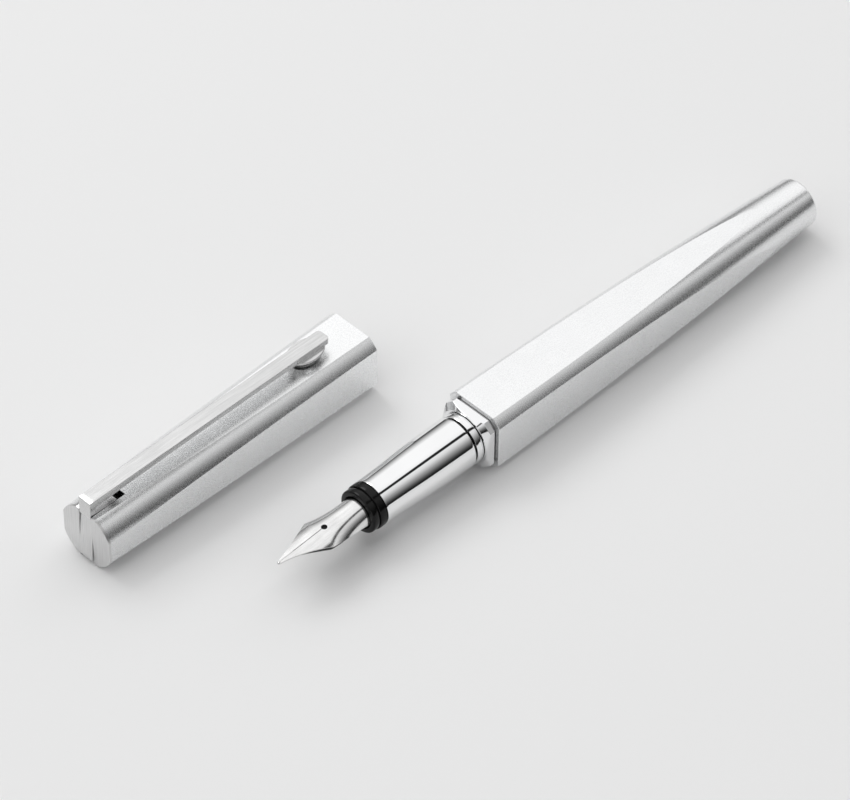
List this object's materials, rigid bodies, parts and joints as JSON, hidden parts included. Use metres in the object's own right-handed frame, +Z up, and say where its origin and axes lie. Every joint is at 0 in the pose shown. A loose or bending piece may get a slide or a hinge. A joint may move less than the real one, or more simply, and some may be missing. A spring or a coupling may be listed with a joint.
{
  "type": "fountain pen with cap",
  "caption": "Square-barrelled fountain pen lying uncapped beside its cap, with nib, feed, screw-in grip section, piston converter and sprung pocket clip.",
  "frame": {"origin": "on the barrel's lower flat, 30 mm behind its front rim, level with the surface that the pen and its cap lie on", "axes": "+X along the pen towards its tail, +Y towards the cap beside it, +Z up"},
  "size_m": [0.1462, 0.0405, 0.0148],
  "materials": {
    "satin_aluminium": "fine bead-blasted satin anodised aluminium",
    "mirror_chrome": "mirror-polished chrome plate",
    "polished_steel": "polished stainless steel sheet",
    "brushed_steel": "satin brushed metal",
    "black_plastic": "glossy black plastic",
    "clear_plastic": "clear moulded plastic",
    "brass": "turned brass"
  },
  "bodies": {
    "barrel": {"barrel_shell": "satin_aluminium", "barrel_thread_insert": "brass"},
    "collar": {"square_collar": "mirror_chrome"},
    "section": {"section_band": "mirror_chrome", "section_groove_ring": "black_plastic", "section_grip": "mirror_chrome", "section_tenon": "brushed_steel", "nib_housing": "black_plastic"},
    "nib_unit": {"nib": "polished_steel", "feed": "black_plastic"},
    "converter": {"converter_tube": "clear_plastic", "converter_sleeve": "mirror_chrome", "converter_rod_guide": "black_plastic"},
    "knob": {"converter_knob": "black_plastic"},
    "piston": {"piston_rod": "black_plastic", "piston_seal": "clear_plastic"},
    "cap": {"cap_shell": "satin_aluminium", "cap_end_plug": "satin_aluminium", "cap_end_band": "brushed_steel", "inner_cap": "black_plastic", "clip_foot": "brushed_steel"},
    "clip": {"clip_arm": "brushed_steel"}
  },
  "joints": [
    {"name": "collar_advance", "type": "slide", "parent": "barrel", "child": "collar", "axis": [-1, 0, 0.0098], "range_m": [0, 0.006]},
    {"name": "section_turn", "type": "hinge", "parent": "collar", "child": "section", "pos_m": [-0.02994, 0, 0.006], "axis": [-1, 0, 0.0098], "range_deg": [0, 1800.1]},
    {"name": "nib_pull", "type": "slide", "parent": "section", "child": "nib_unit", "axis": [-1, 0, 0.0098], "range_m": [0, 0.012]},
    {"name": "converter_pull", "type": "slide", "parent": "section", "child": "converter", "axis": [1, 0, -0.0098], "range_m": [0, 0.007]},
    {"name": "knob_turn", "type": "hinge", "parent": "converter", "child": "knob", "pos_m": [-0.02994, 0, 0.006], "axis": [1, 0, -0.0098], "range_deg": [0, 1368]},
    {"name": "piston_travel", "type": "slide", "parent": "converter", "child": "piston", "axis": [1, 0, -0.0098], "range_m": [0, 0.019]},
    {"name": "cap_pull", "type": "slide", "parent": "barrel", "child": "cap", "axis": [-1, 0, 0], "range_m": [0, 0.05]},
    {"name": "clip_flex", "type": "hinge", "parent": "cap", "child": "clip", "pos_m": [-0.09183, 0.02855, 0.0126], "axis": [0, -1, 0], "range_deg": [0, 3], "stiffness_Nm_per_rad": 1.5}
  ],
  "couplings": [
    {"joint": "section_turn", "follows": "collar_advance", "rad_per_m": 5236},
    {"joint": "knob_turn", "follows": "piston_travel", "rad_per_m": 1256.6}
  ]
}
